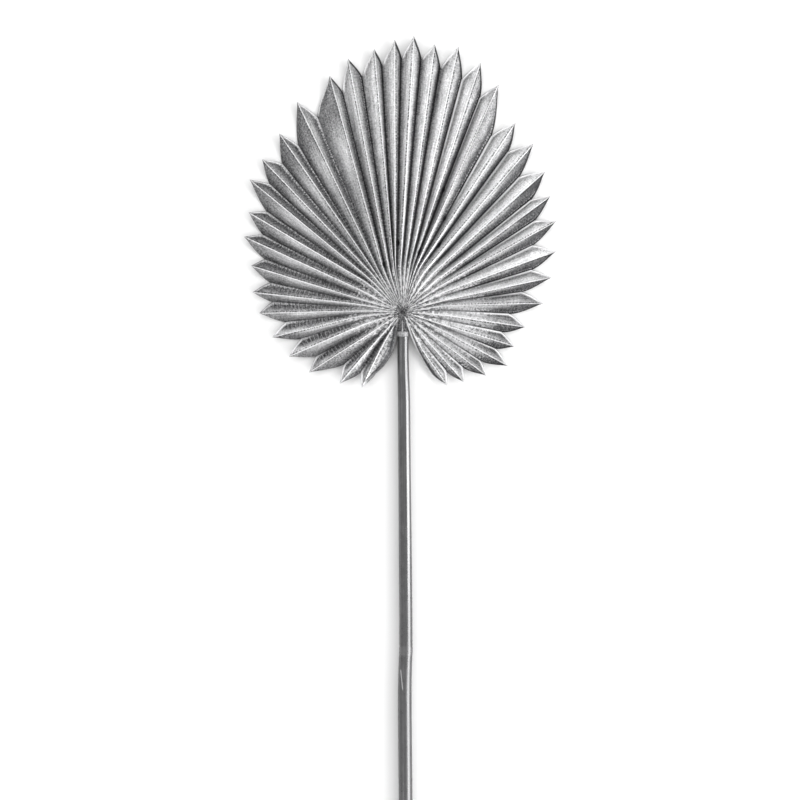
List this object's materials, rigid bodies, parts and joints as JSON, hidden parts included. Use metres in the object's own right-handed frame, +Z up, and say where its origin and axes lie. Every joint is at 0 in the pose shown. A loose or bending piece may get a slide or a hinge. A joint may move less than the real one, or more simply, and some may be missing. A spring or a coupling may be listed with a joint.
{
  "type": "fan palm leaf",
  "caption": "Pleated fan palm leaf with an antiqued silver finish, pointed segments round a hub and a long round cut stem, lying face up.",
  "frame": {"origin": "centre of the footprint, on the surface that the leaf lies on", "axes": "+Y from the cut end of the stem towards the tip of the blade, +Z up out of the face of the leaf, +X to the right as seen from above"},
  "size_m": [0.2336, 0.6798, 0.0106],
  "materials": {
    "silver_leaf": "antiqued silver: bright ridges and veins over dark grey grooves, satin metallic",
    "silver_grey_stem": "smooth dark silver grey, glossy, with faint blotches and scuffs"
  },
  "bodies": {
    "root": {"leaf_blade": "silver_leaf", "stem": "silver_grey_stem"}
  },
  "joints": []
}
